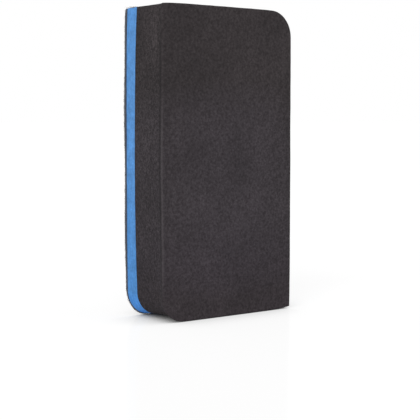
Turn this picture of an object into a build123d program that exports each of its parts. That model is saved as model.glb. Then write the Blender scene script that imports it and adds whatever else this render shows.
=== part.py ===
from build123d import *
import os

# A hand eraser for wipe-off boards: a foam block, a foam cushion sheet and a felt, glued together
# and die cut in one stroke, with four magnets sealed behind the felt. It stands on a short end.
# Frame, in millimetres: origin at the middle of the standing end, +Z up along the length,
# +X across the width, +Y through the layers, from the grip face to the wiping face.

# Outline, the same for every layer
body_length = 150.0
body_width = 80.0
round_corner_radius = 13.0  # the two rounded corners, opposite each other
square_corner_radius = 1.0  # the other two, as sharp as a cutting die leaves them

# Layers, from the felt up to the grip face
felt_thickness = 1.5
glue_thickness = 0.15
pocket_floor = 1.7  # foam left behind each magnet
grip_thickness = 22.5
grip_edge_radius = 0.8  # round on the rim of the grip face
glue_setback = 2.0  # the glue films stop this far inside the cut edge

# Magnets
magnet_diameter = 20.0
magnet_thickness = 5.0
magnet_edge_chamfer = 0.3
magnet_clearance = 0.15  # gap all round a magnet in its pocket
magnet_side_distance = 22.0  # a magnet's centre to the nearest long side
magnet_end_distance = 27.0  # a magnet's centre to the nearest short end

# Heights of the layers above the wiping face, and what follows from them
cushion_thickness = magnet_thickness + pocket_floor
felt_glue_height = felt_thickness
cushion_height = felt_glue_height + glue_thickness
block_glue_height = cushion_height + cushion_thickness
grip_height = block_glue_height + glue_thickness
body_depth = grip_height + grip_thickness
magnet_grid = GridLocations(
    body_width - 2 * magnet_side_distance, body_length - 2 * magnet_end_distance, 2, 2
)


def layer_plane(height):
    """Drawing plane at a height above the wiping face, centred on the outline, facing the grip side."""
    middle = (0, body_depth / 2 - height, body_length / 2)
    return Plane(origin=middle, x_dir=(1, 0, 0), z_dir=(0, -1, 0))


def draw_leaf(sketch, setback=0.0):
    """Draws the outline, a rectangle with two opposite corners well rounded, a setback inside the cut edge."""
    Rectangle(body_width - 2 * setback, body_length - 2 * setback)
    round_corners = sketch.vertices().filter_by(lambda corner: corner.X * corner.Y > 0)
    fillet(round_corners, round_corner_radius - setback)
    square_corners = sketch.vertices().filter_by(lambda corner: corner.X * corner.Y < 0)
    fillet(square_corners, square_corner_radius)


def finish_piece(piece, name):
    """Labels a piece with its name and writes it to its STEP file."""
    piece.part.label = name
    export_step(piece.part, f"parts/{name}.step")


os.makedirs("parts", exist_ok=True)

# Wiping felt, the face that meets the board
with BuildPart() as felt_pad:
    with BuildSketch(layer_plane(0)) as felt_outline:
        draw_leaf(felt_outline)
    extrude(amount=felt_thickness)
finish_piece(felt_pad, "felt_pad")

# Glue film between felt and cushion sheet, which also closes the magnets' pockets
with BuildPart() as felt_adhesive:
    with BuildSketch(layer_plane(felt_glue_height)) as felt_glue_outline:
        draw_leaf(felt_glue_outline, glue_setback)
    extrude(amount=glue_thickness)
finish_piece(felt_adhesive, "felt_adhesive")

# Foam cushion sheet, with a blind pocket for each magnet cut from the felt side
with BuildPart() as cushion_sheet:
    with BuildSketch(layer_plane(cushion_height)) as cushion_outline:
        draw_leaf(cushion_outline)
    extrude(amount=cushion_thickness)
    with BuildSketch(layer_plane(cushion_height)):
        with magnet_grid:
            Circle(magnet_diameter / 2 + magnet_clearance)
    extrude(amount=magnet_thickness, mode=Mode.SUBTRACT)
finish_piece(cushion_sheet, "cushion_sheet")

# Disc magnets, each lying on the glue film and against the floor of its pocket
for number, place in enumerate(magnet_grid, start=1):
    with BuildPart() as magnet:
        with BuildSketch(layer_plane(cushion_height)):
            with Locations(place):
                Circle(magnet_diameter / 2)
        extrude(amount=magnet_thickness)
        chamfer(magnet.edges(), magnet_edge_chamfer)
    finish_piece(magnet, f"magnet_{number}")

# Glue film between cushion sheet and grip block
with BuildPart() as block_adhesive:
    with BuildSketch(layer_plane(block_glue_height)) as block_glue_outline:
        draw_leaf(block_glue_outline, glue_setback)
    extrude(amount=glue_thickness)
finish_piece(block_adhesive, "block_adhesive")

# Foam block for the hand, with the rim of its grip face rounded
with BuildPart() as grip_block:
    with BuildSketch(layer_plane(grip_height)) as grip_outline:
        draw_leaf(grip_outline)
    extrude(amount=grip_thickness)
    fillet(grip_block.faces().sort_by(Axis.Y)[0].edges(), grip_edge_radius)
finish_piece(grip_block, "grip_block")
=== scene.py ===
import bpy
import numpy as np
from mathutils import Matrix, Vector


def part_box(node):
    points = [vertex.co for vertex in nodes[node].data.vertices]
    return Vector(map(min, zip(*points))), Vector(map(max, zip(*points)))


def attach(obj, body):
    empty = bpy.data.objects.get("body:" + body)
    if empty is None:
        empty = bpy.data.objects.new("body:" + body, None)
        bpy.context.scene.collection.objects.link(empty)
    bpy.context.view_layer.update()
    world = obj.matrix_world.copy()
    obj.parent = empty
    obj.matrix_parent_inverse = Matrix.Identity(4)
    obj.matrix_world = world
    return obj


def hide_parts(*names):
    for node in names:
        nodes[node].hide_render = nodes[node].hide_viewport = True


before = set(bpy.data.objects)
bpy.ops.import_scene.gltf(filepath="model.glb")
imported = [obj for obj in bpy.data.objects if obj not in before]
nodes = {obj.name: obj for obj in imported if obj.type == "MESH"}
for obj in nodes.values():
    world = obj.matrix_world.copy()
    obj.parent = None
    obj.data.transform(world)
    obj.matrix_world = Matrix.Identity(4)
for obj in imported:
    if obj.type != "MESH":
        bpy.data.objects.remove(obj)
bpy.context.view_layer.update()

# Grip block
# The slab that the hand holds, 22 mm of black closed-cell foam. It is die cut in one stroke with the
# sheets glued behind it, so its walls are a little hollow, above all round the rounded corners.

mm = 0.001
block_low, block_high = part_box("grip_block")
felt_low, felt_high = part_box("felt_pad")
half_size = np.array([block_high.x, block_high.z / 2])
grip_face = block_low.y
body_depth = felt_high.y - grip_face
film_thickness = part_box("block_adhesive")[1].y - block_high.y

round_corner = 13.0 * mm
square_corner = 1.0 * mm
least_radius = 0.15 * mm  # of a corner's arc that the inset has used up
arc_steps = 10  # samples along half of a corner's arc
steps_across = 88  # and along a straight run
steps_up = 170


def die_lap():
    """One lap of the die's outline, anticlockwise for someone who faces the grip face. A side is the
    second half of one corner's arc, a straight run and the first half of the next corner's arc. Gives,
    for each sample: the outward direction, the share of the way from the corner before to the corner
    after, and the signs and radii of both corners."""
    signs = np.array([(-1, -1), (1, -1), (1, 1), (-1, 1)])
    radii = np.array([round_corner, square_corner, round_corner, square_corner])
    outward, share, before = [], [], []
    for side, steps in enumerate((steps_across, steps_up, steps_across, steps_up)):
        half_arc = np.linspace(-np.pi / 4, 0, arc_steps, endpoint=False)
        turn = np.concatenate([half_arc, np.zeros(steps), half_arc + np.pi / 4])
        angle = turn + (side - 1) * np.pi / 2
        outward.append(np.stack([np.cos(angle), np.sin(angle)], axis=-1))
        run = np.linspace(0, 1, steps, endpoint=False)
        share.append(np.concatenate([np.zeros(arc_steps), run, np.ones(arc_steps)]))
        before.append(np.full(len(angle), side))
    before = np.concatenate(before)
    after = (before + 1) % 4
    share = np.concatenate(share)[:, None]
    return np.concatenate(outward), share, signs[before], signs[after], radii[before], radii[after]


outward, share, sign_before, sign_after, radius_before, radius_after = die_lap()


def die_line(inset, squeeze):
    """Where the cut runs when it lies `inset` inside the nominal outline, from the outline's middle.
    Each corner's arc keeps its centre while its radius shrinks by the inset, and a square corner's
    radius then grows by `squeeze`: the arc's points are sign x (half size - inset - radius) + radius x
    direction. A run joins two arcs' ends."""
    ends = []
    for sign, radius in ((sign_before, radius_before), (sign_after, radius_after)):
        left_over = np.maximum(radius - inset, least_radius) + squeeze * (radius == square_corner)
        left_over = left_over[..., None]
        ends.append(sign * (half_size - inset[..., None] - left_over) + left_over * outward)
    return ends[0] + share * (ends[1] - ends[0])


# How far inside the nominal outline the cut ends up, in the middle of a side, at a square corner and
# at a rounded one: from the rim on, and in the hollow behind it. The hollow deepens over a run from
# the rim and closes again towards the felt, the faster the lower its power.
rim_inset = {"middle": 0.0 * mm, "square": 0.50 * mm, "round": 0.15 * mm}
hollow_inset = {"middle": 0.10 * mm, "square": 0.32 * mm, "round": 1.75 * mm}
hollow_run = {"middle": 0.95 * mm, "square": 0.95 * mm, "round": 3.0 * mm}
closing_power = {"middle": 8, "square": 8, "round": 2.4}
short_cut = 0.38 * mm  # the soft sheets end this much short of the block at the square corners
short_run = 4.0 * mm
frayed_radius = 0.6 * mm  # the felt's square corners are this much rounder
layer_bow = 1.0 * mm
rim_radius = 0.8 * mm
cut_ease = 0.12 * mm  # round on a layer's edge where it meets the next layer
round_steps = 7


def corner_shares(sharpness):
    """How much each sample of the lap belongs to a side's middle, to a square corner and to a rounded
    one: along a run a corner's share falls with a power of the way to the side's middle."""
    way = 2 * share[:, 0] - 1
    near_before = np.clip(-way, 0, 1) ** sharpness
    near_after = np.clip(way, 0, 1) ** sharpness
    rounded = near_before * (radius_before == round_corner) + near_after * (radius_after == round_corner)
    square = near_before + near_after - rounded
    return {"middle": 1 - rounded - square, "square": square, "round": rounded}


# The hollow spreads far from a corner, the rim's inset less far, and what is the tip's own hardly at all.
broad_shares, close_shares, tip_shares = corner_shares(2), corner_shares(6), corner_shares(12)


def ramp(value, start, run):
    """Goes straight from 0 to 1 as a value goes from `start` on over `run`, and is held at both ends."""
    return np.clip((value - start) / run, 0, 1)


def smooth_step(value, start, run):
    """Goes gently from 0 to 1 as a value goes from `start` on over `run`: t^2 x (3 - 2 t) of its ramp."""
    t = ramp(value, start, run)
    return t**2 * (3 - 2 * t)


# The square corner that the eraser stands on isn't cut quite as its twin: it lies further out to the
# right and further up, and the rim is sharper round it and on the lower half of the right side.
lower_shift = np.array([0.30, 0.50]) * mm
sharpened = 0.55  # share that the rim's radius is smaller there
on_right = sign_before[:, 0] + sign_after[:, 0] == 2
on_standing_end = sign_before[:, 1] + sign_after[:, 1] == -2
lower_square = (close_shares["square"] * (on_right | on_standing_end))[:, None]
lower_rim = on_right * (1 - smooth_step(share[:, 0], start=0.52, run=0.16))
lower_rim = lower_rim + on_standing_end * smooth_step(share[:, 0], start=0.88, run=0.12)
rim_rounds = rim_radius * (1 - sharpened * lower_rim)


def cut_inset(depth):
    """Inset of the cut at a depth below the grip face: the rim's inset plus the hollow, each by how much
    the sample belongs to a middle, a square corner and a rounded one. The hollow's share of its full
    depth is (1 - exp(-d / run)) x (1 - a^power), with d the depth below the rim's round and a the depth
    as a share of the whole."""
    part = np.clip(depth / body_depth, 0, 1)
    inset = 0 * depth
    for where in rim_inset:
        deepened = 1 - np.exp(-np.clip(depth - rim_radius, 0, None) / hollow_run[where])
        hollow = deepened * (1 - part ** closing_power[where]) * hollow_inset[where]
        inset = inset + close_shares[where] * rim_inset[where] + broad_shares[where] * hollow
    return inset


def frayed_corner(depth):
    """How much rounder the square corners are at a depth: a smooth step through the felt."""
    return frayed_radius * smooth_step(depth, felt_low.y - grip_face, felt_high.y - felt_low.y)


def shallow_dents(points, size, height, seed):
    """Smooth dents between 0 and `height` deep: the sum of 24 sine waves through space in random
    directions, with wavelengths from half to twice `size`. A sum of 0 is half the height, and 10 either
    way is as high or as deep as a dent goes."""
    draw = np.random.default_rng(seed)
    wave_count, full_swing = 24, 20
    waves = draw.normal(size=(wave_count, 3))
    waves /= np.linalg.norm(waves, axis=1, keepdims=True)
    waves *= 2 * np.pi / (size * draw.uniform(0.5, 2.0, (wave_count, 1)))
    phases = draw.uniform(0, 2 * np.pi, wave_count)
    total = np.sin(points @ waves.T + phases).sum(axis=-1)
    return height * np.clip(0.5 + total / full_swing, 0, 1)


def lap_points(inset, depth):
    """Points of the cut in the frame, one ring for each row of insets and depths. The layers bow by up
    to `layer_bow` where block and cushion meet, and less towards both faces, as 4 a^2 x (1 - a^2) with
    a the depth as a share of the whole: towards the grip face at the square corners, where the soft
    sheet swells, and away from it along the rest of a side. With s going from -1 at a rounded corner
    to 1 at a square one, the bow is a quarter of 1 - s^2 less half of s x (1 + s). From the block's
    back on, a smooth step makes the square corners end a little short of the body's ends. The lower
    square corner is shifted as a whole."""
    part = depth / body_depth
    to_square = (2 * share[:, 0] - 1) * np.where(radius_after == square_corner, 1, -1)
    bow = layer_bow * ((1 - to_square**2) / 4 - to_square * (1 + to_square) / 2)
    bowed = depth + 4 * part**2 * (1 - part**2) * bow
    line = die_line(inset, frayed_corner(depth)) + lower_square * lower_shift
    short = tip_shares["square"] * short_cut * smooth_step(depth, block_high.y - grip_face, short_run)
    height = half_size[1] + line[..., 1] * (1 - short / half_size[1])
    return np.stack([line[..., 0], grip_face + bowed, height], axis=-1)


def wall_rings(top, bottom, rows, seed, top_round=cut_ease, bottom_round=cut_ease, stand_out=0.0):
    """Rings down a layer's cut wall, from depth `top` to depth `bottom`, closer together near both
    ends. Each end is a quarter round, where the inset grows by radius x (1 - cos turn) and the depth
    by radius x sin turn; its radius is one for all or one for each sample of the lap. The wall is
    lightly dented all over. Only a layer that stands out may pass the nominal outline."""
    turn = np.linspace(0, np.pi / 2, round_steps)[:, None] * np.ones(len(outward))
    between = (1 - np.cos(np.linspace(0, np.pi, rows)))[1:-1, None] / 2
    upper = top + top_round * (1 - np.sin(turn[::-1]))
    lower = bottom - bottom_round * (1 - np.sin(turn))
    depth = np.concatenate([upper, upper[-1] + (lower[0] - upper[-1]) * between, lower])
    rounding = np.zeros_like(depth)
    rounding[:round_steps] = top_round * (1 - np.cos(turn[::-1]))
    rounding[-round_steps:] = bottom_round * (1 - np.cos(turn))
    inset = cut_inset(depth)
    inset = inset + shallow_dents(lap_points(inset, depth), size=6 * mm, height=0.08 * mm, seed=seed)
    return lap_points(np.maximum(inset, 0) - stand_out + rounding, depth)


def face_patch(ring):
    """The face inside a ring, as a Coons patch: the two straight blends between facing sides, added,
    less the blend of the four corners. Gives the points inside the border and the whole grid of point
    numbers, where the border has the ring's own numbers and the inside counts on from 0."""
    across = 2 * arc_steps + steps_across
    up = 2 * arc_steps + steps_up
    number = np.arange(len(ring) + 1) % len(ring)
    bottom, right = number[: across + 1], number[across : across + up + 1]
    top = number[across + up : 2 * across + up + 1][::-1]
    left = number[2 * across + up :][::-1]

    def way(one, other):
        """How far along two facing sides each column or row is, from the mean of their lengths."""
        steps = [np.linalg.norm(np.diff(ring[side], axis=0), axis=1) for side in (one, other)]
        along = np.cumsum(np.concatenate([[0], steps[0] / steps[0].sum() + steps[1] / steps[1].sum()]))
        return along / along[-1]

    u = way(bottom, top)[None, :, None]
    v = way(left, right)[:, None, None]
    blended = (1 - v) * ring[bottom][None] + v * ring[top][None]
    blended = blended + (1 - u) * ring[left][:, None] + u * ring[right][:, None]
    low_corners = (1 - u) * ring[bottom[0]] + u * ring[bottom[-1]]
    high_corners = (1 - u) * ring[top[0]] + u * ring[top[-1]]
    patch = blended - (1 - v) * low_corners - v * high_corners
    grid = np.zeros((up + 1, across + 1), int)
    grid[0], grid[-1], grid[:, 0], grid[:, -1] = bottom, top, left, right
    return patch[1:-1, 1:-1].reshape(-1, 3), grid


def beyond_outline(points):
    """How far points lie outside the nominal outline, negative inside it, and which way outwards is.
    Beside a corner's arc the way leads from the arc's centre, elsewhere straight to the nearer side;
    the distance is the part of |place| - half size + radius that lies that way, less the radius."""
    centred = points[..., ::2] - (0, half_size[1])
    radius = np.where(centred.prod(axis=-1) > 0, round_corner, square_corner)
    overhang = np.abs(centred) - half_size + radius[..., None]
    beside_arc = (overhang > 0).all(axis=-1, keepdims=True)
    way = np.where(beside_arc, overhang, overhang >= overhang.max(axis=-1, keepdims=True))
    way = way / np.linalg.norm(way, axis=-1, keepdims=True)
    return (overhang * way).sum(axis=-1) - radius, way * np.sign(centred)


def quads(grid):
    """Four-sided faces of a grid of point numbers, wound from a row to the next one."""
    return np.stack([grid[:-1, :-1], grid[:-1, 1:], grid[1:, 1:], grid[1:, :-1]], axis=-1).reshape(-1, 4)


def slab(rings):
    """A closed slab: the walls through its rings and a patch across the first and the last of them.
    Gives its points, its wall faces, and the grid of point numbers of the front and back faces."""
    rows, lap = rings.shape[:2]
    points = [rings.reshape(-1, 3)]
    count = rows * lap
    grids = []
    for ring_number in (0, rows - 1):
        inside, grid = face_patch(rings[ring_number])
        grid = grid + ring_number * lap
        grid[1:-1, 1:-1] = count + np.arange(len(inside)).reshape(np.array(grid.shape) - 2)
        points.append(inside)
        grids.append(grid)
        count += len(inside)
    wall = np.arange(rows * lap).reshape(rows, lap)
    wall = quads(np.concatenate([wall, wall[:, :1]], axis=1))[:, ::-1]
    return np.concatenate(points), wall, grids[0], grids[1]


def new_piece(name, points, faces, finish, node):
    """Makes a smooth-shaded object from points and lists of faces, gives it its finish, and puts it in
    the place of its node."""
    mesh = bpy.data.meshes.new(name)
    mesh.from_pydata(points.tolist(), [], [face for group in faces for face in group.tolist()])
    mesh.polygons.foreach_set("use_smooth", np.ones(len(mesh.polygons), bool))
    mesh.materials.append(finish)
    piece = bpy.data.objects.new(name, mesh)
    bpy.context.scene.collection.objects.link(piece)
    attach(piece, "root")
    if node:
        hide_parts(node)
    return piece


def mark_points(piece, name, values):
    """Stores one number for each point of a piece, for its finish to read."""
    marks = piece.data.attributes.new(name, "FLOAT", "POINT")
    marks.data.foreach_set("value", values.astype(np.float32))


class Finish:
    """A procedural finish. Each method adds a node and gives the socket that it puts out."""

    def __init__(self, name, roughness, specular):
        self.material = bpy.data.materials.new(name)
        self.material.use_nodes = True
        self.tree = self.material.node_tree
        self.shader = self.tree.nodes["Principled BSDF"]
        self.shader.inputs["Roughness"].default_value = roughness
        self.shader.inputs["Specular IOR Level"].default_value = specular
        self.place = self.tree.nodes.new("ShaderNodeTexCoord").outputs["Object"]

    def put(self, socket, value):
        """Links a socket's input, or sets it when the value is a plain one."""
        if isinstance(value, bpy.types.NodeSocket):
            self.tree.links.new(value, socket)
        else:
            socket.default_value = value

    def stretched(self, x, y, z):
        """The place, with each axis multiplied, so that a pattern on it is drawn out or flattened."""
        node = self.tree.nodes.new("ShaderNodeMapping")
        self.put(node.inputs["Vector"], self.place)
        node.inputs["Scale"].default_value = (x, y, z)
        return node.outputs["Vector"]

    def noise(self, grain, detail=2.0, roughness=0.5, place=None, seed=0.0):
        """Cloudy noise between 0 and 1 with blotches about `grain` metres across. Each seed gives
        another pattern of the same kind."""
        node = self.tree.nodes.new("ShaderNodeTexNoise")
        node.noise_dimensions = "4D"
        node.inputs["W"].default_value = seed
        self.put(node.inputs["Vector"], place or self.place)
        node.inputs["Scale"].default_value = 1 / grain
        node.inputs["Detail"].default_value = detail
        node.inputs["Roughness"].default_value = roughness
        return node.outputs["Fac"]

    def cells(self, size):
        """Distance from the middles of random cells about `size` metres across, in cells."""
        node = self.tree.nodes.new("ShaderNodeTexVoronoi")
        self.put(node.inputs["Vector"], self.place)
        node.inputs["Scale"].default_value = 1 / size
        return node.outputs["Distance"]

    def marks(self, name):
        """The numbers stored on the piece's points under a name."""
        node = self.tree.nodes.new("ShaderNodeAttribute")
        node.attribute_name = name
        return node.outputs["Fac"]

    def spread(self, value, low, high, to_low=0.0, to_high=1.0):
        """Maps the range low..high to to_low..to_high, held at both ends."""
        node = self.tree.nodes.new("ShaderNodeMapRange")
        for socket, number in zip(node.inputs, (value, low, high, to_low, to_high)):
            self.put(socket, number)
        return node.outputs["Result"]

    def swing(self, noise, low=0.0, high=1.0):
        """Maps a noise, which lies between 0.3 and 0.7 nearly everywhere, to low..high."""
        return self.spread(noise, 0.3, 0.7, low, high)

    def math(self, operation, one, other):
        """A sum, product or other operation on two values."""
        node = self.tree.nodes.new("ShaderNodeMath")
        node.operation = operation
        self.put(node.inputs[0], one)
        self.put(node.inputs[1], other)
        return node.outputs["Value"]

    def tint(self, share, one, other, blend="MIX"):
        """Goes from one colour to the other, or to the two combined by another blend, by a share."""
        node = self.tree.nodes.new("ShaderNodeMix")
        node.data_type = "RGBA"
        node.blend_type = blend
        colours = [socket for socket in node.inputs if socket.type == "RGBA"]
        self.put(node.inputs["Factor"], share)
        self.put(colours[0], one)
        self.put(colours[1], other)
        return [socket for socket in node.outputs if socket.type == "RGBA"][0]

    def shade(self, tone, factor, share=1.0):
        """Multiplies a colour by a number or by another colour, by a share."""
        return self.tint(share, tone, factor, "MULTIPLY")

    def relief(self, height, depth):
        """Turns a height between 0 and 1 into relief `depth` metres deep on the shader."""
        node = self.tree.nodes.new("ShaderNodeBump")
        node.inputs["Distance"].default_value = depth
        self.put(node.inputs["Height"], height)
        self.put(self.shader.inputs["Normal"], node.outputs["Normal"])

    def colour(self, value):
        """Sets the colour of the shader."""
        self.put(self.shader.inputs["Base Color"], value)


foam_dark, foam_pale = (0.0175, 0.0140, 0.0150, 1), (0.0425, 0.0358, 0.0378, 1)
foam_cells_and_shade_line = (0.008, 0.0065, 0.0075, 1)  # in open cells, and in the painted shade line just behind the rim
# Pale line along the rim: partly wear, partly a painted highlight of the round rim.
foam_worn_and_highlit = (0.078, 0.070, 0.075, 1)
# Painted light: the first tint makes the grip face paler and cooler in its middle.
painted_light_tint, low_down_tint = (1.20, 1.22, 1.32, 1), (1.03, 1.0, 1.07, 1)  # factors on the tone
cloud_seed = 3666.9  # which of the noise's patterns the cloudy wear has


def black_foam():
    """Black foam with a fine matt grain of closed cells, cloudy, a little more purple low down, with
    painted light that makes it paler and cooler in the grip face's middle, a pale line along the rim that
    is partly wear and partly a painted highlight, a painted shade line just behind it, and painted light
    and shade, dark bands and a dark strip. The cut walls have a grain drawn out along the length, and
    open cells."""
    foam = Finish("black_foam", roughness=0.9, specular=0.22)
    grain = foam.noise(1.15 * mm, roughness=0.55)
    skins = foam.spread(foam.cells(0.45 * mm), 0.05, 0.6)
    clouds = foam.noise(24 * mm, seed=cloud_seed)
    tone = foam.tint(foam.swing(grain), foam_dark, foam_pale)
    tone = foam.shade(tone, foam.spread(skins, 0.0, 1.0, 0.80, 1.08))
    tone = foam.shade(tone, foam.swing(clouds, 0.83, 1.14))
    # Painted light: paler and cooler in the middle of the grip face.
    tone = foam.shade(tone, painted_light_tint, foam.marks("painted_light_pool"))
    tone = foam.shade(tone, low_down_tint, foam.marks("low_down"))
    # Painted light and shade on the walls and the grip face, with dark bands and a dark strip.
    tone = foam.shade(tone, foam.marks("painted_shade_and_bands"))
    drawn_out = foam.noise(1.0 * mm, detail=1, place=foam.stretched(1.0, 1.2, 0.6))
    tone_of_wall = foam.shade(tone, foam.swing(drawn_out, 0.72, 1.30))
    tone = foam.tint(foam.marks("cut_wall"), tone, tone_of_wall)
    pits = foam.spread(foam.cells(1.1 * mm), 0.12, 0.30, 1.0, 0.0)
    open_cells = foam.math("MULTIPLY", pits, foam.marks("cut_wall"))
    tone = foam.tint(foam.math("MULTIPLY", open_cells, 0.9), tone, foam_cells_and_shade_line)
    # Painted shade: a dark line just behind the rim, where the wall turns in.
    shaded_lip_line = foam.math("MULTIPLY", foam.marks("shaded_lip_line"), foam.swing(clouds, 0.9, 0.5))
    tone = foam.tint(shaded_lip_line, tone, foam_cells_and_shade_line)
    # Pale line along the rim, partly wear and partly a painted highlight.
    highlit_wear = foam.math("MULTIPLY", foam.marks("rim"), foam.swing(clouds, 0.2, 0.6))
    tone = foam.tint(highlit_wear, tone, foam_worn_and_highlit)
    foam.colour(tone)
    height = foam.math("ADD", foam.math("MULTIPLY", grain, 0.5), foam.math("MULTIPLY", skins, 0.5))
    foam.relief(foam.math("SUBTRACT", height, foam.math("MULTIPLY", open_cells, 0.4)), 0.22 * mm)
    return foam.material


# How much the foam is paled or darkened in places, as shares of its tone, much of it painted light and
# shade
wall_darker = 0.03
painted_light_by_square = 0.34  # painted light on the walls by the square corners, near the rim
square_fade = 0.50  # less of it at the back, which leaves them darker there: painted shade by the cushion
face_lean = 0.065  # painted light and shade: the grip face is paler towards its rounded corners, darker towards the square ones
band_darker = 0.085  # in bands across the walls
strip_darker = 0.05  # on the grip face, just inside the long sides' rims

dark_bands = ((38 * mm, 15 * mm), (105 * mm, 10 * mm))  # height and width of each
# Depth of the painted shade line behind the rim
shade_line_depth = 1.8 * mm
# Middle height and reach of the painted light on the grip face.
light_pool_height = 62 * mm
light_pool_reach = np.array([70, 54]) * mm


def bell(value, middle, width):
    """A bell curve: exp(-((value - middle) / width)^2)."""
    return np.exp(-(((value - middle) / width) ** 2))


def wear_and_painted_light(points, depth):
    """Where the block is worn and where light and shade are painted on it: a number for each point and
    mark, from the point's depth below the grip face, its distances from the outline, from the nearer end
    and from the side's square corner, and its height. Along the long sides' rims, one mark is a pale
    line, partly wear and partly a painted highlight, and another a painted shade line just behind it.
    Both wander by a bell curve, and the pale one fades towards the square corner and low down. Another
    mark is a factor on the tone. The walls are a little darker, and by the square corners have painted
    light near the rim and painted shade at the back, with dark bands across them. The grip face has a
    dark strip beside the rim and painted light and shade that leans by across x up, which both go from -1
    to 1.
    `low_down` fades upwards, and the last mark is painted light, 1 - across^2 - up^4 from the middle of
    its pool, as shares of its reach."""
    x, z = points[:, 0], points[:, 2]
    from_outline, _ = beyond_outline(points)
    from_end = half_size[1] - np.abs(z - half_size[1])
    from_square = np.where(x < 0, block_high.z - z, z)
    on_long_side = ramp(from_end, start=8 * mm, run=14 * mm)
    low = 1 - smooth_step(z, start=30 * mm, run=30 * mm)
    wander = 0.75 * mm * bell(from_square, middle=72 * mm, width=24 * mm) - 0.3 * mm
    on_rim = bell(depth + from_outline, middle=wander, width=0.65 * mm) * (depth < 4 * mm)
    highlit_wear = 0.3 + 0.7 * smooth_step(from_square, start=40 * mm, run=28 * mm) - 0.25 * low
    near_square = 1 - smooth_step(from_square, start=14 * mm, run=24 * mm)
    paler = painted_light_by_square - square_fade * ramp(depth, start=5.5 * mm, run=16.5 * mm)
    behind_rim = ramp(depth, start=2.5 * mm, run=2.5 * mm)
    bands = sum(bell(z, middle, width) for middle, width in dark_bands)
    banded = band_darker * bands * bell(depth, middle=6 * mm, width=4 * mm)
    strip = strip_darker * bell(from_outline, middle=-2.2 * mm, width=1.6 * mm)
    strip = strip * (depth < rim_radius) * on_long_side
    # Painted light on the walls by the square corners near the rim, and painted shade at their back.
    wall = near_square * paler - wall_darker
    # Painted light and shade across the grip face.
    face = face_lean * x / half_size[0] * (z / half_size[1] - 1)
    # Painted light: a pool of it in the middle of the grip face.
    near_light_pool = 1 - (x / light_pool_reach[0]) ** 2 - ((z - light_pool_height) / light_pool_reach[1]) ** 4
    return {
        "cut_wall": ramp(depth, start=rim_radius / 2, run=rim_radius),
        # Pale line on the rim: partly wear, partly a painted highlight.
        "rim": on_rim * on_long_side * highlit_wear,
        # Painted shade line just behind the rim.
        "shaded_lip_line": bell(depth, middle=shade_line_depth + wander, width=0.7 * mm) * on_long_side,
        # Painted light and shade, dark bands and a dark strip, as a factor on the tone.
        "painted_shade_and_bands": 1 + wall * behind_rim + face * (1 - behind_rim) - banded - strip,
        "low_down": 1 - smooth_step(z, start=5 * mm, run=55 * mm),
        # Painted light in the middle of the grip face.
        "painted_light_pool": np.clip(near_light_pool, 0, 1),
    }


def grip_block():
    """The block's mesh: a wall that starts with the round rim of the grip face, and the two faces. The
    grip face is dented up to 0.2 mm, and the glued face is flat and swells at its edge to the next
    layer."""
    meeting = block_high.y - grip_face + film_thickness / 2
    rings = wall_rings(0, meeting, rows=40, seed=11, top_round=rim_rounds)
    points, wall, front, back = slab(rings)
    points[back[1:-1, 1:-1], 1] = block_high.y
    depth = points[:, 1] - grip_face
    on_face = 1 - ramp(depth, start=0, run=rim_radius)
    points[:, 1] += on_face * shallow_dents(points, size=26 * mm, height=0.2 * mm, seed=12)
    faces = [quads(front), wall, quads(back)[:, ::-1]]
    piece = new_piece("grip_foam", points, faces, black_foam(), "grip_block")
    for name, values in wear_and_painted_light(points, depth).items():
        mark_points(piece, name, values)
    return piece


grip_foam = grip_block()

# Cushion sheet
# Blue foam between the block and the felt, softer than the block, so that the felt follows the board.
# Four blind pockets cut from the felt side hold the magnets.

cushion_low, cushion_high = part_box("cushion_sheet")
sheet_swell = 0.12 * mm  # at the cut edge it swells this far past the glue line, towards the felt
pocket_clearance = 0.15 * mm
pocket_border = 3.5 * mm  # the back face makes room this far round each pocket
pocket_rows = 5
magnet_numbers = (1, 2, 3, 4)

blue_dark, blue_pale = (0.076, 0.235, 0.545, 1), (0.108, 0.300, 0.640, 1)
blue_inside = (0.04, 0.14, 0.36, 1)  # in open cells
# The second tint is painted light that pales the rounded corners.
deeper_tint, painted_bounce_tint = (0.81, 0.91, 0.945, 1), (1.06, 1.20, 1.32, 1)  # factors on the tone


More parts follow.
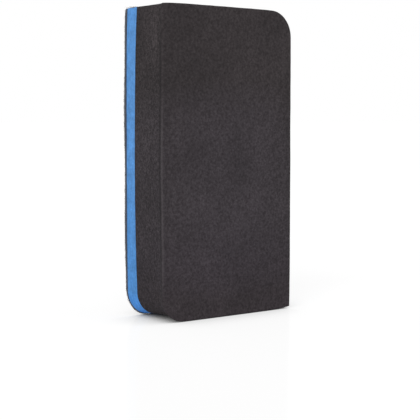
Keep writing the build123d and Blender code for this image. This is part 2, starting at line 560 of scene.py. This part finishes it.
def pocket(points, back, magnet):
    """A blind pocket for one magnet in the back face. The face's quads in a rectangle round the magnet
    give way to rings that go from the rectangle to the pocket's circle, down its wall, and over its
    floor to the middle. Gives the new points, their faces and the rectangle's corners in the grid."""
    low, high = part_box(magnet)
    middle = np.array([(low.x + high.x) / 2, (low.z + high.z) / 2])
    radius = (high.x - low.x) / 2 + pocket_clearance
    reach = radius + pocket_border
    row, column = back.shape[0] // 2, back.shape[1] // 2
    columns = np.flatnonzero(np.abs(points[back[row], 0] - middle[0]) < reach)
    rows = np.flatnonzero(np.abs(points[back[:, column], 2] - middle[1]) < reach)
    r0, r1, c0, c1 = rows[0], rows[-1], columns[0], columns[-1]
    border = np.concatenate([back[r0, c0:c1], back[r0:r1, c1], back[r1, c1:c0:-1], back[r1:r0:-1, c0]])
    start = points[border][:, ::2]
    toward = start - middle
    toward /= np.linalg.norm(toward, axis=1, keepdims=True)
    circle = middle + radius * toward
    share = np.linspace(0, 1, pocket_rows)[1:, None, None]
    rings = [start + share * (circle - start)]
    depths = [np.full(pocket_rows - 1, cushion_high.y)]
    rings.append(np.broadcast_to(circle, (pocket_rows - 1,) + circle.shape))
    depths.append(np.linspace(cushion_high.y, low.y, pocket_rows)[1:])
    shrink = np.linspace(1, 0, 2 * pocket_rows)[1:-1, None, None]
    rings.append(middle + shrink * (circle - middle))
    depths.append(np.full(2 * pocket_rows - 2, low.y))
    flat = np.concatenate(rings)
    level = np.concatenate(depths)[:, None] * np.ones(len(border))
    fresh = np.stack([flat[..., 0], level, flat[..., 1]], axis=-1).reshape(-1, 3)
    number = len(points) + np.arange(len(fresh)).reshape(-1, len(border))
    number = np.concatenate([border[None], number])
    number = np.concatenate([number, number[:, :1]], axis=1)
    pole = len(points) + len(fresh)
    fan = np.stack([number[-1, :-1], number[-1, 1:], np.full(len(border), pole)], axis=-1)
    fresh = np.concatenate([fresh, [[middle[0], low.y, middle[1]]]])
    return fresh, [quads(number), fan], (slice(r0, r1), slice(c0, c1))


def blue_foam():
    """Blue foam, finer and smoother than the block, with small open cells, a deeper blue near the end
    that it stands on, and painted light that makes it paler round the rounded corners."""
    foam = Finish("blue_foam", roughness=0.85, specular=0.25)
    grain = foam.noise(1.1 * mm, detail=3, roughness=0.55)
    skins = foam.spread(foam.cells(0.35 * mm), 0.05, 0.6)
    clouds = foam.noise(4.5 * mm)
    drawn_out = foam.noise(1.1 * mm, detail=1, place=foam.stretched(1.0, 1.4, 0.35))
    tone = foam.tint(foam.swing(grain), blue_dark, blue_pale)
    tone = foam.shade(tone, foam.spread(skins, 0.0, 1.0, 0.92, 1.06))
    tone = foam.shade(tone, foam.swing(drawn_out, 0.90, 1.08))
    tone = foam.shade(tone, foam.swing(clouds, 0.86, 1.12))
    tone = foam.shade(tone, deeper_tint, foam.marks("deeper"))
    # Painted light: paler round the rounded corners.
    tone = foam.shade(tone, painted_bounce_tint, foam.marks("painted_bounce_light"))
    pits = foam.math("SUBTRACT", 1.0, foam.spread(foam.cells(0.7 * mm), 0.08, 0.2))
    tone = foam.tint(foam.math("MULTIPLY", pits, 0.35), tone, blue_inside)
    foam.colour(tone)
    height = foam.math("ADD", foam.math("MULTIPLY", grain, 0.5), foam.math("MULTIPLY", skins, 0.5))
    foam.relief(foam.math("SUBTRACT", height, foam.math("MULTIPLY", pits, 0.4)), 0.14 * mm)
    return foam.material


def cushion_sheet():
    """The sheet's mesh: the cut wall, a flat face to the block and a face to the felt with pockets. At
    the cut edge both faces swell to meet their neighbours over the glue films. Painted light makes the
    sheet paler where it lies inside both sides of a rounded corner's arc, by a smooth step."""
    top = cushion_low.y - grip_face - film_thickness / 2
    bottom = cushion_high.y - grip_face + film_thickness / 2 + sheet_swell
    points, wall, front, back = slab(wall_rings(top, bottom, rows=16, seed=21))
    points[front[1:-1, 1:-1], 1] = cushion_low.y
    points[back[1:-1, 1:-1], 1] = cushion_high.y
    kept = np.ones(np.array(back.shape) - 1, bool)
    faces = [quads(front), wall]
    for number in magnet_numbers:
        fresh, pocket_faces, hole = pocket(points, back, f"magnet_{number}")
        points = np.concatenate([points, fresh])
        faces += [face[:, ::-1] for face in pocket_faces]
        kept[hole] = False
    faces.append(quads(back)[kept.ravel()][:, ::-1])
    piece = new_piece("cushion_foam", points, faces, blue_foam(), "cushion_sheet")
    centred = points[:, ::2] - (0, half_size[1])
    into_corner = (np.abs(centred) - half_size + round_corner).min(axis=1)
    at_rounded = centred.prod(axis=1) > 0
    mark_points(piece, "deeper", 1 - smooth_step(points[:, 2], start=15 * mm, run=75 * mm))
    # Painted light at the rounded corners, paler where the sheet lies inside an arc.
    mark_points(piece, "painted_bounce_light", smooth_step(into_corner, start=0, run=6 * mm) * at_rounded)
    return piece


cushion_foam = cushion_sheet()

# Felt
# The wiping face, 1.5 mm of dark grey needled felt. Its cut edge is soft, and loose fibres stand out of
# the face and the edge.

felt_edge = 0.35 * mm  # round on the edge of the wiping face
edge_stand_out = 0.40 * mm
corner_swing = 0.28 * mm
wave_height, wave_length, wave_crest = 0.19 * mm, 58.5 * mm, 98.7 * mm

fibres_on_face, fibres_on_edge = 2600, 2400
fibre_reach = 0.1 * mm
fibre_points = 6
fibre_radius = 0.022 * mm
root_scatter = 0.4 * mm
fewer_at_square = 0.8  # share of the edge's fibres that the square corners lack
edge_lean = 0.35  # how steeply the edge's fibres run across the felt's thickness

felt_dark, felt_pale = (0.027, 0.030, 0.040, 1), (0.077, 0.085, 0.110, 1)
fibre_pale = (0.1155, 0.1275, 0.165, 1)


def felt_past_outline():
    """How far the felt's edge stands out past the foam's cut, for each sample of the lap. It stands out
    evenly, less towards the rounded corners and not at the square tips. On a rounded corner's arc it
    swings in beside the long side and out beside the end, by 4 x |x z| x (z^2 - x^2) of the outward
    direction. Along the long sides it waves, as a cosine of the height."""
    even = edge_stand_out * (1 - tip_shares["square"] - broad_shares["round"])
    swing = 4 * np.abs(outward.prod(axis=1)) * (outward[:, 1] ** 2 - outward[:, 0] ** 2)
    height = half_size[1] + die_line(np.zeros(len(outward)), 0)[:, 1]
    wave = np.cos(2 * np.pi * (height - wave_crest) / wave_length)
    waved = wave_height * wave * outward[:, 0] ** 2 * (1 - tip_shares["round"])
    return even + corner_swing * tip_shares["round"] * swing + waved


felt_stand_out = felt_past_outline()


def felt_body():
    """The felt's mesh: a thin slab whose wiping face has a quarter round edge and a lumpy surface. It
    meets the cushion's swollen edge, and stays above the floor."""
    top = felt_low.y - grip_face - film_thickness / 2 + sheet_swell
    rings = wall_rings(
        top, body_depth, rows=10, seed=31, bottom_round=felt_edge, stand_out=felt_stand_out
    )
    points, wall, front, back = slab(rings)
    points[front[1:-1, 1:-1], 1] = felt_low.y
    points[:, 2] = np.maximum(points[:, 2], 0)
    face = np.unique(back)
    points[face, 1] -= shallow_dents(points[face], size=3 * mm, height=0.12 * mm, seed=33)
    return points, [quads(front), wall, quads(back)[:, ::-1]], back


def strands(roots, along, aside, length, lift, curl):
    """Loose fibres as thin three-sided tubes, whose radius falls to a quarter at both ends with the
    third power of the way from the middle. Each runs from its root along one direction, bends aside by
    curl x t^2 and arches off the surface by 4 x lift x t x (1 - t). What would stand more than
    `fibre_reach` further out of the edge than its root is laid back along it. Gives points and faces."""
    t = np.linspace(0, 1, fibre_points)[None, :, None]
    off = np.cross(along, aside)
    length, lift, curl = (value[:, None, None] for value in (length, lift, curl))
    line = roots[:, None] + along[:, None] * length * t + aside[:, None] * curl * t**2
    line = line + off[:, None] * (4 * lift * t * (1 - t))
    stand_out, way = beyond_outline(line)
    allowed = np.maximum(stand_out[:, :1], 0) + fibre_reach
    line[..., ::2] -= way * np.maximum(stand_out - allowed, 0)[..., None]
    line[..., 1] = np.clip(line[..., 1], felt_low.y, felt_high.y + fibre_reach)
    line[..., 2] = np.maximum(line[..., 2], fibre_radius)
    tangent = np.gradient(line, axis=1)
    tangent /= np.linalg.norm(tangent, axis=2, keepdims=True)
    first = np.cross(tangent, off[:, None])
    first /= np.linalg.norm(first, axis=2, keepdims=True)
    second = np.cross(tangent, first)
    radius = fibre_radius * (1 - 0.75 * np.abs(2 * t - 1) ** 3)
    angle = np.arange(3) * 2 * np.pi / 3
    ring = np.cos(angle)[:, None] * first[:, :, None] + np.sin(angle)[:, None] * second[:, :, None]
    points = line[:, :, None] + radius[..., None] * ring
    number = np.arange(points[..., 0].size).reshape(points.shape[:3])
    lap = np.concatenate([number, number[:, :, :1]], axis=2)
    sides = np.stack([lap[:, :-1, :-1], lap[:, :-1, 1:], lap[:, 1:, 1:], lap[:, 1:, :-1]], axis=-1)
    ends = np.concatenate([number[:, 0, ::-1], number[:, -1]])
    return points.reshape(-1, 3), [sides.reshape(-1, 4), ends]


def loose_fibres(points, back):
    """Fibres over the wiping face and round its edge, which lie along the surface in all directions. On
    the edge they are spread evenly over its length, and fewer at the square corners."""
    draw = np.random.default_rng(34)
    away_from_edge = back[3:-3, 3:-3].ravel()
    roots = points[draw.choice(away_from_edge, fibres_on_face)]
    roots = roots + draw.normal(size=(fibres_on_face, 3)) * (root_scatter, 0, root_scatter)
    angle = draw.uniform(0, 2 * np.pi, fibres_on_face)
    along = np.stack([np.cos(angle), 0 * angle, np.sin(angle)], axis=-1)
    aside = np.stack([np.sin(angle), 0 * angle, -np.cos(angle)], axis=-1)
    rim = lap_points(cut_inset(np.full((1, 1), body_depth)), np.full((1, 1), body_depth))[0]
    stretch = np.linalg.norm(np.roll(rim, -1, axis=0) - rim, axis=1)
    frayed = stretch * (1 - fewer_at_square * tip_shares["square"])
    sample = draw.choice(len(outward), fibres_on_edge, p=frayed / frayed.sum())
    depth = body_depth - draw.uniform(0.15, 1.35, fibres_on_edge)[:, None] * mm
    inset = np.maximum(cut_inset(depth) + 0.04 * mm, 0) - felt_stand_out
    edge_roots = lap_points(inset, depth)[np.arange(fibres_on_edge), sample]
    out = outward[sample]
    side = draw.choice([-1, 1], fibres_on_edge)
    lean = draw.normal(0, edge_lean, fibres_on_edge)
    edge_along = np.stack([-out[:, 1] * side, lean, out[:, 0] * side], axis=-1)
    edge_along /= np.linalg.norm(edge_along, axis=1, keepdims=True)
    edge_out = np.stack([out[:, 0], 0 * side, out[:, 1]], axis=-1)
    edge_aside = np.cross(edge_out, edge_along)
    count = fibres_on_face + fibres_on_edge
    return strands(
        roots=np.concatenate([roots, edge_roots]),
        along=np.concatenate([along, edge_along]),
        aside=np.concatenate([aside, edge_aside]),
        length=draw.uniform(1.0, 3.2, count) * mm,
        lift=draw.uniform(0.0, 0.15, count) * mm,
        curl=draw.normal(0, 0.5, count) * mm,
    )


def grey_felt(name, pale):
    """Dark grey felt: matted fibres that cross each other, some of them paler, with a soft sheen."""
    felt = Finish(name, roughness=0.95, specular=0.15)
    felt.shader.inputs["Sheen Weight"].default_value = 0.25
    felt.shader.inputs["Sheen Roughness"].default_value = 0.6
    one_way = felt.noise(0.5 * mm, detail=3, roughness=0.65, place=felt.stretched(1.0, 1.0, 0.22))
    other_way = felt.noise(0.5 * mm, detail=3, roughness=0.65, place=felt.stretched(0.22, 1.0, 1.0))
    matted = felt.math("MAXIMUM", one_way, other_way)
    tone = felt.tint(felt.spread(matted, 0.38, 0.72), felt_dark, pale)
    tone = felt.shade(tone, felt.swing(felt.noise(9 * mm, detail=3), 0.82, 1.12))
    felt.colour(tone)
    felt.relief(matted, 0.25 * mm)
    return felt.material


felt_points, felt_faces, felt_back = felt_body()
fuzz_points, fuzz_faces = loose_fibres(felt_points, felt_back)
felt = new_piece("felt", felt_points, felt_faces, grey_felt("grey_felt", felt_pale), "felt_pad")
felt_fibre = grey_felt("felt_fibre", fibre_pale)
felt_fuzz = new_piece("felt_fuzz", fuzz_points, fuzz_faces, felt_fibre, None)

# Glue films
# Two films of clear acrylic glue, slightly yellow, which stop just inside the cut edge. They are the
# CAD nodes as they are, with a finish that has small bubbles under the surface.

glue_dark, glue_pale = (0.58, 0.52, 0.36, 1), (0.70, 0.65, 0.50, 1)
bubble_pale = (0.82, 0.80, 0.74, 1)


def clear_glue():
    """Yellowish glue film with bubbles and a faint cloudiness."""
    glue = Finish("clear_glue", roughness=0.3, specular=0.5)
    glue.shader.inputs["Transmission Weight"].default_value = 0.55
    glue.shader.inputs["IOR"].default_value = 1.47
    beside_bubbles = glue.spread(glue.cells(2.2 * mm), 0.08, 0.16)
    tone = glue.tint(glue.swing(glue.noise(6 * mm)), glue_dark, glue_pale)
    glue.colour(glue.tint(beside_bubbles, bubble_pale, tone))
    glue.relief(beside_bubbles, 0.05 * mm)
    return glue.material


glue = clear_glue()
for name in ("block_adhesive", "felt_adhesive"):
    nodes[name].data.materials.clear()
    nodes[name].data.materials.append(glue)

# Magnets
# Four sintered ferrite discs, dark grey, with a ground face and a dusty, slightly speckled surface.
# They sit in the cushion sheet's pockets and stay as the CAD has them.

ferrite_dark, ferrite_pale = (0.036, 0.036, 0.040, 1), (0.078, 0.077, 0.080, 1)
speck_pale = (0.16, 0.155, 0.15, 1)


def ground_ferrite():
    """Dark grey ferrite with fine grinding marks along one direction and small pale specks."""
    ferrite = Finish("ground_ferrite", roughness=0.5, specular=0.5)
    grinding = ferrite.noise(0.25 * mm, place=ferrite.stretched(1.0, 1.0, 0.04))
    tone = ferrite.tint(ferrite.swing(grinding), ferrite_dark, ferrite_pale)
    tone = ferrite.shade(tone, ferrite.swing(ferrite.noise(4 * mm), 0.85, 1.1))
    beside_specks = ferrite.spread(ferrite.cells(0.8 * mm), 0.05, 0.1)
    ferrite.colour(ferrite.tint(beside_specks, speck_pale, tone))
    ferrite.relief(grinding, 0.03 * mm)
    return ferrite.material


ferrite = ground_ferrite()
for number in magnet_numbers:
    magnet = nodes[f"magnet_{number}"]
    magnet.data.materials.clear()
    magnet.data.materials.append(ferrite)

# Floor and light
# A plain white floor, one triangle that goes on to the horizon, under soft light from the left and
# above. To the camera the floor and the sky are white, and the floor keeps the eraser's shadow.

floor_reach = 20.0
shadow_reach = 30 * mm
open_enough = 0.94  # openness at which the paper's glow is full
glow_share, lit_share, shine_share = 0.81, 0.26, 0.05
paper_white = (0.8, 0.8, 0.8, 1)
paper_gloss = 0.12  # roughness of the faint reflection
sky_light, sky_seen = 0.43, 1.0  # the sky's strength for the light and for the camera


def is_seen(tree):
    """1 for rays that come from the camera, a reflection or a clear piece, and 0 for others."""
    path = tree.nodes.new("ShaderNodeLightPath")
    total = path.outputs["Is Camera Ray"]
    for other in ("Is Glossy Ray", "Is Transmission Ray"):
        either = tree.nodes.new("ShaderNodeMath")
        either.operation = "MAXIMUM"
        tree.links.new(total, either.inputs[0])
        tree.links.new(path.outputs[other], either.inputs[1])
        total = either.outputs["Value"]
    return total


def white_floor():
    """White paper that the light and the camera see apart. The light sees plain white. The camera sees
    a glow, a small share of the lit paper with its shadow, and a faint reflection. The glow fades where
    the eraser stands close over the paper: it is `glow_share` x the sine of a quarter turn x openness /
    `open_enough`, held at a quarter turn."""
    material = bpy.data.materials.new("white_floor")
    material.use_nodes = True
    tree = material.node_tree
    tree.nodes.clear()
    seen = is_seen(tree)

    openness = tree.nodes.new("ShaderNodeAmbientOcclusion")
    openness.inputs["Distance"].default_value = shadow_reach
    openness.samples = 8
    value = openness.outputs["AO"]
    quarter = np.pi / 2
    for operation, factor in (("MULTIPLY", quarter / open_enough), ("MINIMUM", quarter), ("SINE", 0),
                              ("MULTIPLY", glow_share)):
        step = tree.nodes.new("ShaderNodeMath")
        step.operation = operation
        step.inputs[1].default_value = factor
        tree.links.new(value, step.inputs[0])
        value = step.outputs["Value"]
    glow = tree.nodes.new("ShaderNodeEmission")
    tree.links.new(value, glow.inputs["Strength"])

    lit = tree.nodes.new("ShaderNodeBsdfDiffuse")
    lit.inputs["Color"].default_value = (lit_share, lit_share, lit_share, 1)
    shine = tree.nodes.new("ShaderNodeBsdfGlossy")
    shine.inputs["Roughness"].default_value = paper_gloss
    seen_paper = tree.nodes.new("ShaderNodeAddShader")
    tree.links.new(glow.outputs["Emission"], seen_paper.inputs[0])
    tree.links.new(lit.outputs["BSDF"], seen_paper.inputs[1])
    polished = tree.nodes.new("ShaderNodeMixShader")
    polished.inputs["Fac"].default_value = shine_share
    tree.links.new(seen_paper.outputs["Shader"], polished.inputs[1])
    tree.links.new(shine.outputs["BSDF"], polished.inputs[2])

    plain = tree.nodes.new("ShaderNodeBsdfDiffuse")
    plain.inputs["Color"].default_value = paper_white
    both = tree.nodes.new("ShaderNodeMixShader")
    tree.links.new(seen, both.inputs["Fac"])
    tree.links.new(plain.outputs["BSDF"], both.inputs[1])
    tree.links.new(polished.outputs["Shader"], both.inputs[2])
    output = tree.nodes.new("ShaderNodeOutputMaterial")
    tree.links.new(both.outputs["Shader"], output.inputs["Surface"])
    return material


corners = np.array([(-2, -1, 0), (2, -1, 0), (0, 3, 0)]) * floor_reach
floor_mesh = bpy.data.meshes.new("floor")
floor_mesh.from_pydata(corners.tolist(), [], [(0, 1, 2)])
floor_mesh.materials.append(white_floor())
floor = bpy.data.objects.new("floor", floor_mesh)
bpy.context.scene.collection.objects.link(floor)

world = bpy.data.worlds.new("studio")
bpy.context.scene.world = world
world.use_nodes = True
sky = world.node_tree.nodes["Background"]
sky_strength = world.node_tree.nodes.new("ShaderNodeMapRange")
sky_strength.inputs["To Min"].default_value = sky_light
sky_strength.inputs["To Max"].default_value = sky_seen
world.node_tree.links.new(is_seen(world.node_tree), sky_strength.inputs["Value"])
world.node_tree.links.new(sky_strength.outputs["Result"], sky.inputs["Strength"])
sky.inputs["Color"].default_value = (1, 1, 1, 1)


def soft_light(name, azimuth, elevation, spread, strength):
    """A broad, even light from an azimuth and an elevation, `spread` degrees across."""
    turn, rise = np.radians([azimuth, elevation])
    toward = Vector((np.sin(turn) * np.cos(rise), -np.cos(turn) * np.cos(rise), np.sin(rise)))
    light = bpy.data.lights.new(name, "SUN")
    light.angle = np.radians(spread)
    light.energy = strength
    lamp = bpy.data.objects.new(name, light)
    lamp.rotation_euler = toward.to_track_quat("Z", "Y").to_euler()
    bpy.context.scene.collection.objects.link(lamp)


soft_light("key_light", azimuth=-50, elevation=32, spread=50, strength=2.25)
soft_light("fill_light", azimuth=50, elevation=25, spread=60, strength=0.5)

# Camera
# It stands to the left of the grip face, a little above the eraser's middle, and looks slightly down.

camera_place = Vector((-350.8, -449.9, 95.85)) * mm
camera_yaw, camera_pitch, camera_roll = np.radians([37.960, -4.477, 0.070])
focal_pixels = 1151.9
picture_pixels = 420

camera = bpy.data.cameras.new("camera")
camera.sensor_width = 36.0
camera.lens = focal_pixels * camera.sensor_width / picture_pixels
camera_object = bpy.data.objects.new("camera", camera)
bpy.context.scene.collection.objects.link(camera_object)
looking = Vector((np.sin(camera_yaw) * np.cos(camera_pitch), np.cos(camera_yaw) * np.cos(camera_pitch),
                  np.sin(camera_pitch)))
level = Vector((np.cos(camera_yaw), -np.sin(camera_yaw), 0))
upright = level.cross(looking)
right = level * np.cos(camera_roll) + upright * np.sin(camera_roll)
up = upright * np.cos(camera_roll) - level * np.sin(camera_roll)
axes = Matrix((right, up, -looking)).transposed()
camera_object.matrix_world = Matrix.Translation(camera_place) @ axes.to_4x4()
bpy.context.scene.camera = camera_object
bpy.context.scene.view_settings.view_transform = "Standard"
